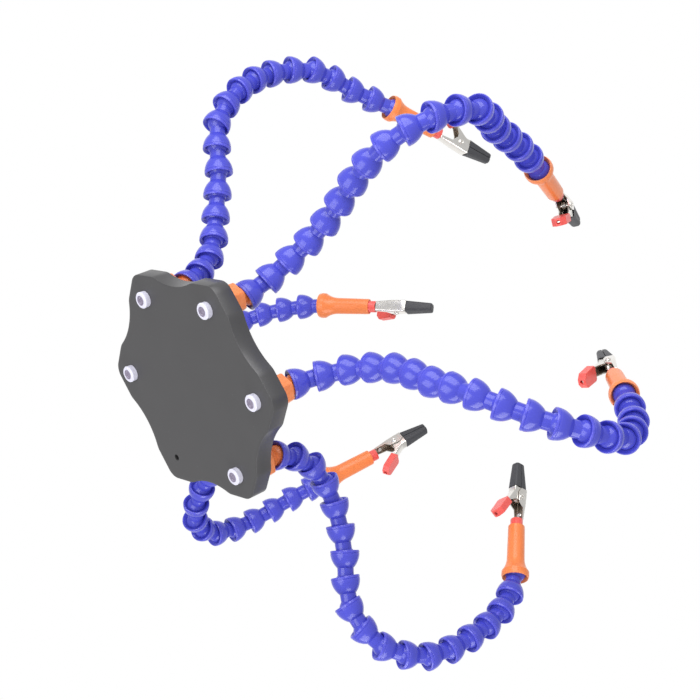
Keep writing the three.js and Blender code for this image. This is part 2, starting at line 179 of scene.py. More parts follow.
def set_softbox(name, camera_turn, toward, distance, size, power):
    """A soft light that shines on the arms' middle from toward, in the camera's right, up and back."""
    data = bpy.data.lights.new(name, "AREA")
    data.shape = "RECTANGLE"
    data.size, data.size_y = size
    data.energy = power
    light = bpy.data.objects.new(name, data)
    bpy.context.scene.collection.objects.link(light)
    direction = (camera_turn @ Vector(toward)).normalized()
    middle = (cad_low + cad_high) / 2
    turn = turned_to(direction, UP.cross(direction))
    light.matrix_world = Matrix.Translation(middle + direction * distance) @ turn.to_4x4()


def set_world(room, backdrop):
    """A white backdrop behind the tool and a dimmer room in front of it; seen directly, all white."""
    world = bpy.data.worlds.new("studio")
    world.use_nodes = True
    tree = world.node_tree
    way = wire(tree, "ShaderNodeTexCoord").outputs["Generated"]
    behind = wire(tree, "ShaderNodeVectorMath", [(0, way), (1, -CAMERA_BACK)], operation="DOT_PRODUCT")
    level = wire(tree, "ShaderNodeMapRange", [("Value", behind.outputs["Value"]), ("From Min", 0.3),
                                              ("From Max", 0.75), ("To Min", room), ("To Max", backdrop)])
    seen = wire(tree, "ShaderNodeLightPath").outputs["Is Camera Ray"]
    strength = wire(tree, "ShaderNodeMix", [("Factor", seen), ("A", level.outputs["Result"]), ("B", 1.0)],
                    data_type="FLOAT")
    tree.links.new(strength.outputs["Result"], tree.nodes["Background"].inputs["Strength"])
    tree.nodes["Background"].inputs["Color"].default_value = (1, 1, 1, 1)
    bpy.context.scene.world = world
    bpy.context.scene.view_settings.view_transform = "Standard"


def set_floor(half_width):
    """A pale bench top under the feet, clear from below so that the base's underside shows."""
    bm = bmesh.new()
    bmesh.ops.create_grid(bm, x_segments=2, y_segments=2, size=half_width)
    bmesh.ops.translate(bm, verts=bm.verts, vec=(0, 0, cad_low.z - 0.0004))
    mesh = bpy.data.meshes.new("bench_top")
    bm.to_mesh(mesh)
    bm.free()
    floor = bpy.data.objects.new("bench_top", mesh)
    bpy.context.scene.collection.objects.link(floor)
    material = bpy.data.materials.new("bench_top")
    material.use_nodes = True
    tree = material.node_tree
    tree.nodes["Principled BSDF"].inputs["Base Color"].default_value = (0.82, 0.82, 0.83, 1)
    tree.nodes["Principled BSDF"].inputs["Roughness"].default_value = 0.6
    geometry = tree.nodes.new("ShaderNodeNewGeometry")
    clear = tree.nodes.new("ShaderNodeBsdfTransparent")
    either = tree.nodes.new("ShaderNodeMixShader")
    tree.links.new(geometry.outputs["Backfacing"], either.inputs["Fac"])
    tree.links.new(tree.nodes["Principled BSDF"].outputs["BSDF"], either.inputs[1])
    tree.links.new(clear.outputs["BSDF"], either.inputs[2])
    tree.links.new(either.outputs["Shader"], tree.nodes["Material Output"].inputs["Surface"])
    mesh.materials.append(material)
    for rays in ("visible_diffuse", "visible_glossy", "visible_transmission", "visible_shadow"):
        setattr(floor, rays, False)


camera_turn = set_camera()
set_world(room=0.56, backdrop=1.0)
set_softbox("softbox_over", camera_turn, (-0.05, 0.8, 0.6), 1.0, (1.1, 0.8), 9)
set_softbox("softbox_left", camera_turn, (-0.62, -0.15, 0.76), 1.0, (0.75, 0.75), 5)
set_softbox("softbox_under", camera_turn, (0.15, -0.95, 0.3), 1.0, (0.9, 0.5), 5)
set_floor(1.5)


# ---- finishes ----

def new_group(name, inputs, outputs):
    """An empty shader group with its sockets, and its input and output nodes."""
    group = bpy.data.node_groups.new(name, "ShaderNodeTree")
    for socket, kind, value in inputs:
        made = group.interface.new_socket(name=socket, in_out="INPUT", socket_type=kind)
        made.default_value = value
    for socket, kind in outputs:
        group.interface.new_socket(name=socket, in_out="OUTPUT", socket_type=kind)
    return group, group.nodes.new("NodeGroupInput"), group.nodes.new("NodeGroupOutput")


def make_grain_group():
    """Fine pitting and slow waviness of a moulded or blasted surface."""
    group, given, out = new_group(
        "surface_grain",
        [("Fine", "NodeSocketFloat", 2500.0), ("Coarse", "NodeSocketFloat", 220.0),
         ("Share", "NodeSocketFloat", 0.5)],
        [("Height", "NodeSocketFloat"), ("Mottle", "NodeSocketFloat")])
    place = wire(group, "ShaderNodeTexCoord").outputs["Object"]
    fine = wire(group, "ShaderNodeTexNoise", [("Vector", place), ("Scale", given.outputs["Fine"]),
                                              ("Detail", 3.0)])
    coarse = wire(group, "ShaderNodeTexNoise", [("Vector", place), ("Scale", given.outputs["Coarse"]),
                                                ("Detail", 2.0)])
    both = wire(group, "ShaderNodeMix", [("Factor", given.outputs["Share"]), ("A", fine.outputs["Fac"]),
                                         ("B", coarse.outputs["Fac"])], data_type="FLOAT")
    group.links.new(both.outputs["Result"], out.inputs["Height"])
    group.links.new(coarse.outputs["Fac"], out.inputs["Mottle"])
    return group


def make_edge_group():
    """1 on outer edges and rims that handling rubs, 0 on flats, broken up by a noise."""
    group, given, out = new_group(
        "rubbed_edges",
        [("Start", "NodeSocketFloat", 0.52), ("Full", "NodeSocketFloat", 0.62),
         ("Breakup", "NodeSocketFloat", 900.0)],
        [("Mask", "NodeSocketFloat")])
    geometry = wire(group, "ShaderNodeNewGeometry")
    edge = wire(group, "ShaderNodeMapRange", [("Value", geometry.outputs["Pointiness"]),
                                              ("From Min", given.outputs["Start"]),
                                              ("From Max", given.outputs["Full"])])
    place = wire(group, "ShaderNodeTexCoord").outputs["Object"]
    noise = wire(group, "ShaderNodeTexNoise", [("Vector", place), ("Scale", given.outputs["Breakup"]),
                                               ("Detail", 2.0)])
    broken = wire(group, "ShaderNodeMapRange", [("Value", noise.outputs["Fac"]), ("From Min", 0.3),
                                                ("From Max", 0.6)])
    both = wire(group, "ShaderNodeMath", [(0, edge.outputs["Result"]), (1, broken.outputs["Result"])],
                operation="MULTIPLY")
    group.links.new(both.outputs["Value"], out.inputs["Mask"])
    return group


def make_speck_group():
    """Scattered specks of dust, one in a few square millimetres."""
    group, given, out = new_group(
        "dust_specks",
        [("Spacing", "NodeSocketFloat", 260.0), ("Size", "NodeSocketFloat", 0.07)],
        [("Mask", "NodeSocketFloat")])
    place = wire(group, "ShaderNodeTexCoord").outputs["Object"]
    cells = wire(group, "ShaderNodeTexVoronoi", [("Vector", place), ("Scale", given.outputs["Spacing"])])
    near = wire(group, "ShaderNodeMath", [(0, cells.outputs["Distance"]), (1, given.outputs["Size"])],
                operation="LESS_THAN")
    pick = wire(group, "ShaderNodeMath", [(0, cells.outputs["Color"]), (1, 0.6)], operation="GREATER_THAN")
    both = wire(group, "ShaderNodeMath", [(0, near.outputs["Value"]), (1, pick.outputs["Value"])],
                operation="MULTIPLY")
    group.links.new(both.outputs["Value"], out.inputs["Mask"])
    return group


GRAIN = make_grain_group()
EDGES = make_edge_group()
SPECKS = make_speck_group()
FINISHES = {}
COLOUR_A, COLOUR_B, COLOUR_RESULT = 6, 7, 2  # a Mix node's sockets when it mixes colours


def use_group(tree, group, **values):
    node = tree.nodes.new("ShaderNodeGroup")
    node.node_tree = group
    for socket, value in values.items():
        node.inputs[socket].default_value = value
    return node


def add_finish(name, colour, roughness, bump, fine=2500.0, coarse=220.0, share=0.5, mottle=0.06,
               metallic=0.0, edge=None, speck=None, extra=None):
    """A finish with its own grain: the base colour and roughness drift with it, rubbed edges take
    the edge colour and dust takes the speck colour. extra sets more of the shader's sockets."""
    material = bpy.data.materials.new(name)
    material.use_nodes = True
    tree = material.node_tree
    shader = tree.nodes["Principled BSDF"]
    shader.inputs["Metallic"].default_value = metallic
    for socket, value in (extra or {}).items():
        shader.inputs[socket].default_value = value
    grain = use_group(tree, GRAIN, Fine=fine, Coarse=coarse, Share=share)
    darker = tuple(c * (1 - mottle) for c in colour) + (1,)
    lighter = tuple(min(1, c * (1 + mottle)) for c in colour) + (1,)
    tone = wire(tree, "ShaderNodeMix", [("Factor", grain.outputs["Mottle"]), (COLOUR_A, darker),
                                        (COLOUR_B, lighter)], data_type="RGBA")
    result = tone.outputs[COLOUR_RESULT]
    for group, tint in ((EDGES, edge), (SPECKS, speck)):
        if tint:
            mask = use_group(tree, group)
            mixed = wire(tree, "ShaderNodeMix", [("Factor", mask.outputs["Mask"]), (COLOUR_A, result),
                                                 (COLOUR_B, tint + (1,))], data_type="RGBA")
            result = mixed.outputs[COLOUR_RESULT]
    tree.links.new(result, shader.inputs["Base Color"])
    drift = wire(tree, "ShaderNodeMapRange", [("Value", grain.outputs["Mottle"]),
                                              ("To Min", roughness * 0.85), ("To Max", roughness * 1.15)])
    tree.links.new(drift.outputs["Result"], shader.inputs["Roughness"])
    relief = wire(tree, "ShaderNodeBump", [("Height", grain.outputs["Height"]), ("Strength", bump),
                                           ("Distance", 0.0002)])
    tree.links.new(relief.outputs["Normal"], shader.inputs["Normal"])
    FINISHES[name] = material


add_finish("black_anodised", (0.088, 0.087, 0.090), 0.38, 0.035, fine=5200.0, coarse=60.0, share=0.25,
           mottle=0.05, metallic=0.4, speck=(0.12, 0.12, 0.125))
add_finish("clear_rubber", (0.80, 0.79, 0.93), 0.16, 0.05, coarse=300.0,
           extra={"Transmission Weight": 0.12, "IOR": 1.46})
# A darker copy of clear_rubber for the hollow in each foot's sole: painted shade.
add_finish("shaded_clear_rubber", (0.34, 0.30, 0.40), 0.12, 0.05, coarse=500.0, mottle=0.2,
           extra={"Transmission Weight": 0.12, "IOR": 1.46})
add_finish("blue_acetal", (0.068, 0.074, 0.55), 0.2, 0.02, fine=1800.0, coarse=160.0, share=0.7,
           edge=(0.17, 0.16, 0.80), extra={"IOR": 1.5})
add_finish("orange_acetal", (0.89, 0.235, 0.065), 0.3, 0.03, fine=2200.0, coarse=180.0, share=0.6,
           mottle=0.05, edge=(1.0, 0.36, 0.14))
add_finish("nickel", (0.88, 0.855, 0.81), 0.26, 0.03, fine=3200.0, coarse=500.0, metallic=1.0,
           edge=(0.93, 0.91, 0.88))
# A darker, duller copy of the nickel for the clip sheets' inner faces: painted shade inside the channels.
add_finish("shaded_inside_steel", (0.46, 0.40, 0.33), 0.5, 0.1, fine=3000.0, coarse=700.0, mottle=0.2,
           metallic=1.0)
add_finish("red_vinyl", (0.86, 0.098, 0.082), 0.32, 0.03, fine=1500.0, coarse=260.0, share=0.7,
           mottle=0.08, edge=(0.95, 0.19, 0.17))
add_finish("black_rubber", (0.052, 0.053, 0.060), 0.5, 0.1, fine=3400.0, coarse=300.0, mottle=0.12,
           speck=(0.09, 0.09, 0.1))


# ---- modelling helpers ----

def add_piece(name, bm, place, body, replaced, finishes, soften=0.0, crease=35):
    """Places a drawing made in millimetres, closes it, and makes it a piece that rides on a body and
    stands for the CAD node replaced. Its finishes go on its mesh in the order given."""
    bmesh.ops.transform(bm, matrix=place @ Matrix.Scale(MM, 4), verts=bm.verts)
    bmesh.ops.remove_doubles(bm, verts=bm.verts, dist=1e-7)
    bmesh.ops.recalc_face_normals(bm, faces=bm.faces)
    mesh = bpy.data.meshes.new(name)
    bm.to_mesh(mesh)
    bm.free()
    for finish in finishes:
        mesh.materials.append(FINISHES[finish])
    mesh.shade_smooth()
    piece = bpy.data.objects.new(name, mesh)
    bpy.context.scene.collection.objects.link(piece)
    if soften:
        bevel = piece.modifiers.new("soften", "BEVEL")
        bevel.width = soften * MM
        bevel.segments = 2
        bevel.limit_method = "ANGLE"
        bevel.angle_limit = math.radians(crease)
        bevel.harden_normals = True
    else:
        mesh.set_sharp_from_angle(angle=math.radians(crease))
    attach(piece, body)
    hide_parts(replaced)


def arc(centre, radius, start, end, count, centre_radius=0.0):
    """Points of an arc about (centre, centre_radius), by its angle from +x in degrees."""
    angles = [math.radians(start + (end - start) * i / count) for i in range(count + 1)]
    return [(centre + radius * math.cos(a), centre_radius + radius * math.sin(a)) for a in angles]


def turned(profile, steps=36, closed=False):
    """A drawing turned on the x axis from (x, radius) points; a hollow one's profile is closed."""
    bm = bmesh.new()
    line = [bm.verts.new((x, radius, 0)) for x, radius in profile]
    pairs = list(zip(line, line[1:]))
    if closed:
        pairs.append((line[-1], line[0]))
    edges = [bm.edges.new(pair) for pair in pairs]
    bmesh.ops.spin(bm, geom=line + edges, cent=(0, 0, 0), axis=(1, 0, 0), angle=2 * math.pi,
                   steps=steps, use_merge=True)
    bmesh.ops.remove_doubles(bm, verts=bm.verts, dist=1e-4)
    return bm


def block(x0, x1, rear, front):
    """A block from x0 to x1 whose ends are given as (lowest y, highest y, half width)."""
    bm = bmesh.new()
    bmesh.ops.create_cube(bm, size=2)
    for x, side, (low, high, half) in ((x0, -1, rear), (x1, 1, front)):
        end = [v for v in bm.verts if v.co.x * side > 0 and abs(v.co.x) == 1]
        bmesh.ops.scale(bm, vec=(1, (high - low) / 2, half), verts=end)
        bmesh.ops.translate(bm, vec=(x - side, (low + high) / 2, 0), verts=end)
    return bm


def edges_where(bm, test):
    """The edges whose middle and direction pass a test."""
    found = []
    for edge in bm.edges:
        a, b = (v.co for v in edge.verts)
        if test((a + b) / 2, (b - a).normalized()):
            found.append(edge)
    return found


def round_edges(bm, edges, width, segments):
    bmesh.ops.bevel(bm, geom=edges, offset=width, offset_type="OFFSET", affect="EDGES",
                    segments=segments, profile=0.5, material=-1, clamp_overlap=True)


# ---- base ----

def lobe_point(lobe):
    angle = math.radians(60 * lobe)
    return Vector((LOBE_CIRCLE * math.cos(angle), LOBE_CIRCLE * math.sin(angle), 0))


def outline_loop(bm, inset, height):
    """The base's outline as a loop of edges, drawn in from its edge by inset."""
    drawn = set(bm.edges)
    half = math.pi / LOBES
    corner_centre = (SIDE_DISTANCE - CORNER_RADIUS) / math.cos(half)
    reach = BLEND_RADIUS + SCALLOP_RADIUS
    blend_depth = SIDE_DISTANCE - BLEND_RADIUS
    blend_angle = math.acos((SCALLOP_CENTRE - blend_depth) / reach)
    blend_side = reach * math.sin(blend_angle)
    flat = corner_centre * math.sin(half) - blend_side

    def centre(distance, side, turn):
        return Matrix.Rotation(turn, 3, "Z") @ Vector((distance, side, 0))

    def sweep(vert, middle, angle, steps):
        spun = bmesh.ops.spin(bm, geom=[vert], cent=middle, axis=UP, angle=angle, steps=steps)
        return next(g for g in spun["geom_last"] if isinstance(g, bmesh.types.BMVert))

    def straight(vert, turn):
        made = bmesh.ops.extrude_vert_indiv(bm, verts=[vert])["verts"]
        bmesh.ops.translate(bm, verts=made, vec=centre(0, flat, turn))
        return made[0]

    start = centre(corner_centre, 0, 0) + centre(CORNER_RADIUS - inset, 0, -half) + UP * height
    first = last = bm.verts.new(start)
    for lobe in range(LOBES):
        turn = 2 * half * lobe
        side = turn + half
        last = sweep(last, centre(corner_centre, 0, turn), 2 * half, 12)
        last = straight(last, side)
        last = sweep(last, centre(blend_depth, -blend_side, side), blend_angle, 5)
        last = sweep(last, centre(SCALLOP_CENTRE, 0, side), -2 * blend_angle, 16)
        last = sweep(last, centre(blend_depth, blend_side, side), blend_angle, 5)
        last = straight(last, side)
    bmesh.ops.pointmerge(bm, verts=[last, first], merge_co=first.co)
    return [e for e in bm.edges if all(abs(v.co.z - height) < 1e-6 for v in e.verts) and not e.link_faces
            and e not in drawn]


def base_plate():
    bm = bmesh.new()
    rim = [(1.4, 0.0), (0.3, 0.0), (0.09, 0.09), (0.0, 0.3), (0.0, PLATE_TOP - 0.3),
           (0.09, PLATE_TOP - 0.09), (0.3, PLATE_TOP), (1.4, PLATE_TOP)]
    loops = [outline_loop(bm, inset, height) for inset, height in rim]
    for low, high in zip(loops, loops[1:]):
        bmesh.ops.bridge_loops(bm, edges=low + high)
    holes = {0: [], TAPPED_FLOOR: [], PLATE_TOP: []}
    for lobe in range(LOBES):
        rings = []
        for radius, height in ((STEM_HOLE_RADIUS, 0), (STEM_HOLE_RADIUS, TAPPED_FLOOR),
                               (TAPPED_RADIUS, TAPPED_FLOOR), (TAPPED_RADIUS, PLATE_TOP)):
            made = bmesh.ops.create_circle(bm, segments=32, radius=radius,
                                           matrix=Matrix.Translation(lobe_point(lobe) + UP * height))
            rings.append(list({e for v in made["verts"] for e in v.link_edges}))
        for low, high in zip(rings, rings[1:]):
            bmesh.ops.bridge_loops(bm, edges=low + high)
        holes[0] += rings[0]
        holes[PLATE_TOP] += rings[3]
    for height, outline in ((0, loops[0]), (PLATE_TOP, loops[-1])):
        bmesh.ops.triangle_fill(bm, use_beauty=True, edges=outline + holes[height])
    add_piece("base_plate_body", bm, Matrix(), "base", "base_plate", ["black_anodised"], crease=30)


def foot(lobe):
    """A clear foot with a round hollow in its sole, drawn downwards along x."""
    dome = [(0.1, 0), (0.1, 4.4)] + arc(2.1, 1.5, 60, 10, 5, centre_radius=3.2)
    sole = [(3.6, 3.1), (3.5, 2.7), (2.6, 2.45), (2.2, 2.1), (2.1, 0)]
    bm = turned(dome + sole, steps=32)
    # Faces in the hollow of the sole take the second finish, a darker copy of the rubber: painted shade.
    for face in bm.faces:
        middle = face.calc_center_median()
        face.material_index = int(middle.x > 1 and Vector((middle.y, middle.z)).length < 2.6)
    down = Matrix.Translation(lobe_point(lobe) * MM) @ Matrix.Rotation(math.radians(90), 4, "Y")
    add_piece(f"foot_{lobe + 1}_dome", bm, down, "base", f"foot_{lobe + 1}",
              ["clear_rubber", "shaded_clear_rubber"])


# ---- arms ----

def along(route, t):
    """A point of the smooth curve through the route, t from 0 to 1."""
    last = len(route) - 1
    i = min(int(t * last), last - 1)
    w = t * last - i
    before = route[i - 1] if i else 2 * route[0] - route[1]
    after = route[i + 2] if i + 2 <= last else 2 * route[last] - route[last - 1]
    a, b = route[i], route[i + 1]
    leave, reach = (b - before) / 2, (after - a) / 2
    cubic = 2 * a - 2 * b + leave + reach
    square = 3 * b - 3 * a - 2 * leave - reach
    return cubic * w ** 3 + square * w * w + leave * w + a


def joint_centres(lobe, points):
    """Centres of an arm's ball joints, one link pitch apart along its route, and its nozzle's end."""
    foot_point = lobe_point(lobe) * MM
    route = [foot_point, foot_point + UP * BALL_HEIGHT * MM] + [Vector(p) for p in points]
    reached = 1 / (len(route) - 1)
    centres = [along(route, reached)]
    while len(centres) <= LINKS_PER_ARM:
        near, far = reached, reached + 0.15
        for _ in range(40):
            reached = (near + far) / 2
            if (along(route, reached) - centres[-1]).length < LINK_PITCH * MM:
                near = reached
            else:
                far = reached
        centres.append(along(route, reached))
    return centres, route[-1]


def pointing(origin, forward, roll=0.0):
    """The place of a piece drawn along x: z is level, then the piece is rolled about x."""
    x = forward.normalized()
    z = x.cross(UP).normalized()
    turn = Matrix((x, z.cross(x), z)).transposed().to_4x4()
    return Matrix.Translation(origin) @ turn @ Matrix.Rotation(roll, 4, "X")


def ball(x):
    """The outside of a ball centred at x, from its neck round to its bore."""
    root = math.degrees(math.asin(NECK_RADIUS / BALL_RADIUS))
    mouth = math.degrees(math.asin(BORE_RADIUS / BALL_RADIUS))
    return arc(x, BALL_RADIUS, 180 - root, mouth, 10)


def socket(lip_back, back_to_rim):
    """The inside of a socket centred at 0, from its bore back over the lip to the rim."""
    mouth = math.degrees(math.asin(BORE_RADIUS / SOCKET_RADIUS))
    lip = math.degrees(math.acos(-lip_back / SOCKET_RADIUS))
    return arc(0, SOCKET_RADIUS, mouth, lip, 7) + back_to_rim


def link_profile():
    """Socket with its flared mouth and grooved rim, then the dome, the neck and the next ball."""
    neck_drop = DOME_ARC - RIM_RADIUS + NECK_RADIUS + FILLET
    neck_start = DOME_START + math.sqrt(DOME_ARC ** 2 - neck_drop ** 2)
    flare = [(-3.0, 6.6), (-RIM_BACK, 7.25)]
    rim = [(-RIM_BACK - 0.05, 7.5), (-RIM_BACK + 0.05, 7.8), (-3.1, RIM_RADIUS), (-2.3, RIM_RADIUS)]
    groove = [(-2.15, RIM_RADIUS - 0.17), (-1.95, RIM_RADIUS - 0.17)]
    neck_angle = math.degrees(math.asin(neck_drop / DOME_ARC))
    dome = arc(DOME_START, DOME_ARC, 86.2, neck_angle, 12, RIM_RADIUS - DOME_ARC)
    neck = [(neck_start + FILLET, NECK_RADIUS), (LINK_PITCH - NECK_END, NECK_RADIUS)]
    return socket(LIP_BACK, flare + rim + groove) + dome + neck + ball(LINK_PITCH)


def link(name, start, end, body, replaced):
    bm = turned(link_profile(), steps=40, closed=True)
    add_piece(name, bm, pointing(start, end - start), body, replaced, ["blue_acetal"])


def fitting(arm, lobe):
    """A threaded fitting drawn upwards along x: thread, hexagon, tapered neck and ball."""
    thread = [(3.6, 0), (3.6, 5.6)]
    for ring in range(5):
        crest = 4.2 + ring * THREAD_PITCH
        thread += [(crest, 6.3), (crest + THREAD_PITCH / 2, 5.7)]
    shank = [(9.9, 6.0), (HEX_TOP - 0.5, 6.0), (HEX_TOP, 6.4), (HEX_TOP + 2.2, 5.2)]
    neck = [(BALL_HEIGHT - NECK_END - 1, NECK_RADIUS), (BALL_HEIGHT - NECK_END, NECK_RADIUS)]
    bore = [(BALL_HEIGHT + 2, BORE_RADIUS), (BALL_HEIGHT + 2, 0)]
    bm = turned(thread + shank + neck + ball(BALL_HEIGHT) + bore)
    up = Matrix.Translation(lobe_point(lobe) * MM) @ Matrix.Rotation(math.radians(-90), 4, "Y")
    add_piece(f"{arm}_fitting_ball", bm, up, "base", f"{arm}_fitting", ["orange_acetal"])

    hexagon = bmesh.new()
    seat = PLATE_TOP + 0.1
    bmesh.ops.create_cone(hexagon, cap_ends=True, segments=6, radius1=HEX_RADIUS, radius2=HEX_RADIUS,
                          depth=HEX_TOP - seat)
    bmesh.ops.translate(hexagon, verts=hexagon.verts, vec=(0, 0, (HEX_TOP + seat) / 2))
    upright = edges_where(hexagon, lambda middle, way: abs(way.z) > 0.9)
    round_edges(hexagon, upright, 0.7, 3)
    top = [e for e in hexagon.edges if all(v.co.z > HEX_TOP - 0.1 for v in e.verts)]
    round_edges(hexagon, top, 0.8, 2)
    spot = Matrix.Translation(lobe_point(lobe) * MM)
    add_piece(f"{arm}_fitting_hexagon", hexagon, spot, "base", f"{arm}_fitting", ["orange_acetal"],
              crease=30)


def nozzle(arm, place):
    """Socket mouth, flared skirt and long slightly tapered barrel, bored for the clip's sleeve."""
    mouth = [(-RIM_BACK, 7.3)]
    rim = [(-RIM_BACK - 0.1, 7.4), (-RIM_BACK, 7.6), (-2.2, 8.0), (-1.4, 8.05), (-0.7, 7.95)]
    skirt = arc(9, 15, 234.4, 268, 8, centre_radius=20.15)
    end = [(29.3, 4.9), (29.8, 4.8), (NOZZLE_LENGTH, 4.5), (NOZZLE_LENGTH, NOZZLE_BORE)]
    bore = [(18.0, NOZZLE_BORE), (10.0, BORE_RADIUS)]
    bm = turned(socket(NOZZLE_LIP_BACK, mouth + rim) + skirt + end + bore, steps=44, closed=True)
    add_piece(f"{arm}_nozzle_body", bm, place, f"{arm}_wrist", f"{arm}_nozzle", ["orange_acetal"],
              crease=30)


# ---- spring clip ----

def lever_place():
    """From a drawing along the level lever about the rivet to where the lever stands."""
    return Matrix.Translation((PIN_X, 0, 0)) @ Matrix.Rotation(-LEVER_ANGLE, 4, "Z")


def folded_sheet(stations):
    """Sheet folded to a channel. A station is (place, x, floor y, edge y, half width)."""
    bm = bmesh.new()
    corners = [bm.verts.new(p) for p in ((0, 1, -1), (0, 0, -1), (0, 0, 1), (0, 1, 1))]
    edges = [bm.edges.new(pair) for pair in zip(corners, corners[1:])]
    here = Matrix()
    verts = corners
    for number, (place, x, floor, edge, half) in enumerate(stations):
        there = (place @ Matrix.Translation((x, floor, 0))
                 @ Matrix.Diagonal((1, edge - floor, half, 1)))
        if number:
            made = bmesh.ops.extrude_edge_only(bm, edges=edges)["geom"]
            verts = [g for g in made if isinstance(g, bmesh.types.BMVert)]
            edges = [g for g in made if isinstance(g, bmesh.types.BMEdge)
                     and all(v in verts for v in g.verts)]
        bmesh.ops.transform(bm, matrix=there @ here.inverted(), verts=verts)
        here = there
    folds = [e for e in bm.edges if len(e.link_faces) == 2 and e.calc_face_angle(0) > 1.2]
    round_edges(bm, folds, 0.9, 4)
    bmesh.ops.recalc_face_normals(bm, faces=bm.faces)
    outward = sum(f.normal.dot(f.calc_center_median() * Vector((0, 1, 1))) for f in bm.faces)
    bmesh.ops.solidify(bm, geom=bm.faces, thickness=SHEET if outward > 0 else -SHEET)
    bmesh.ops.recalc_face_normals(bm, faces=bm.faces)
    # Faces turned towards the clip's axis take the second finish, a darker copy of the nickel: painted
    # shade inside the channel.
    for face in bm.faces:
        middle = face.calc_center_median()
        if face.normal.dot(Vector((0, -middle.y, -middle.z))) > 1.0:
            face.material_index = 1
    return bm


def fixed_jaw(arm, place):
    """The half with the tang: low walls behind, and full ones that carry the rivet."""
    level = Matrix()
    bm = folded_sheet([
        (level, 1.0, -1.6, 0.2, 2.0), (level, 3.9, -1.7, 0.0, 2.1), (level, 4.9, -2.9, -1.4, 3.2),
        (level, 12.5, -3.6, -1.2, 3.75), (level, 15.0, -3.9, 1.9, OUTER_HALF),
        (level, 21.5, -4.45, 2.1, OUTER_HALF), (level, 24.6, -4.7, 0.4, OUTER_HALF),
        (level, COVER_START + 0.5, -4.3, -0.2, 3.0),
        (level, 40.0, -2.6, -0.25, 2.3)])
    add_piece(f"{arm}_fixed_jaw_sheet", bm, place, f"{arm}_wrist", f"{arm}_clip_fixed_jaw",
              ["nickel", "shaded_inside_steel"], soften=0.1)


def moving_jaw(arm, place):
    """The half that bends up into the lever just behind its rubber cover."""
    level, lever = Matrix(), lever_place()
    bm = folded_sheet([
        (lever, -22.5, 5.9, 5.0, 2.7), (lever, -8.5, 5.9, 4.6, 2.8), (lever, -4.5, 5.9, 2.5, INNER_HALF),
        (lever, -0.6, 5.9, -2.0, INNER_HALF), (level, 22.6, 4.7, -1.9, INNER_HALF),
        (level, COVER_START, 4.6, 0.25, 3.0), (level, 40.0, 2.6, 0.25, 2.3)])
    add_piece(f"{arm}_moving_jaw_sheet", bm, place, f"{arm}_jaw", f"{arm}_clip_moving_jaw",
              ["nickel", "shaded_inside_steel"], soften=0.1)


def jaw_cover(arm, place, half, body, side):
    """A rubber boot over one jaw: flat towards the other jaw, round outside and blunt at its tip."""
    bm = block(COVER_START, CLIP_LENGTH, (0.15, 4.9, 3.6), (0.15, 3.2, 2.8))
    long_outer = edges_where(bm, lambda middle, way: abs(way.x) > 0.9 and middle.y > 1)
    round_edges(bm, long_outer, 1.9, 6)
    tip = edges_where(bm, lambda middle, way: middle.x > CLIP_LENGTH - 0.01 and middle.y > 0.2)
    round_edges(bm, tip, 0.8, 4)
    rear = [f for f in bm.faces if all(v.co.x < COVER_START + 0.01 for v in f.verts)]
    bmesh.ops.inset_region(bm, faces=rear, thickness=0.5, use_even_offset=True)
    bmesh.ops.translate(bm, vec=(1.2, 0, 0), verts=list({v for f in rear for v in f.verts}))
    if side < 0:
        bmesh.ops.scale(bm, vec=(1, -1, 1), verts=bm.verts)
    add_piece(f"{arm}_{half}_jaw_cover", bm, place, body, f"{arm}_clip_{half}_jaw", ["black_rubber"],
              soften=0.25)


def sleeve(arm, place):
    """The vinyl tube on the clip's tang, a push fit in the nozzle."""
    inside = SLEEVE_RADIUS - 0.65
    tail = [(-9.6, inside), (-9.6, SLEEVE_RADIUS - 0.1), (-9.5, SLEEVE_RADIUS)]
    mouth = [(4.2, SLEEVE_RADIUS), (4.45, SLEEVE_RADIUS - 0.12), (4.5, SLEEVE_RADIUS - 0.35), (4.4, inside)]
    bm = turned(tail + mouth, steps=32, closed=True)
    add_piece(f"{arm}_clip_sleeve", bm, place, f"{arm}_wrist", f"{arm}_clip_fixed_jaw", ["red_vinyl"])


def lever_grip(arm, place):
    """The vinyl grip on the lever: corners cut off and a round hole in its far end."""
    near = GRIP_LENGTH - LEVER_LENGTH
    bm = block(-LEVER_LENGTH, near, (GRIP_LOW, GRIP_HIGH, 4.1), (GRIP_LOW, GRIP_HIGH, 4.5))
    far_corners = edges_where(bm, lambda middle, way: abs(way.y) > 0.9 and middle.x < -LEVER_LENGTH + 1)
    round_edges(bm, far_corners, 2.6, 1)
    near_corners = edges_where(bm, lambda middle, way: abs(way.y) > 0.9 and middle.x > near - 1)
    round_edges(bm, near_corners, 1.2, 1)
    bm.faces.ensure_lookup_table()
    end = min(bm.faces, key=lambda f: f.calc_center_median().x)
    bmesh.ops.inset_individual(bm, faces=[end], thickness=0.5, use_even_offset=True)
    bmesh.ops.subdivide_edges(bm, edges=list(end.edges), cuts=4)
    end = min(bm.faces, key=lambda f: (round(f.calc_center_median().x, 3), -len(f.verts)))
    centre = end.calc_center_median()
    for vert in end.verts:
        vert.co = centre + (vert.co - centre).normalized() * 1.0
    pushed = bmesh.ops.extrude_discrete_faces(bm, faces=[end])["faces"]
    bmesh.ops.translate(bm, vec=(3.0, 0, 0), verts=pushed[0].verts)
    add_piece(f"{arm}_lever_grip_body", bm, place @ in_metres(lever_place()), f"{arm}_jaw",
              f"{arm}_clip_lever_grip", ["red_vinyl"], soften=0.4, crease=30)


def in_metres(place):
    """A place worked out in millimetres, as a place in metres."""
    moved = place.copy()
    moved.translation = place.translation * MM
    return moved


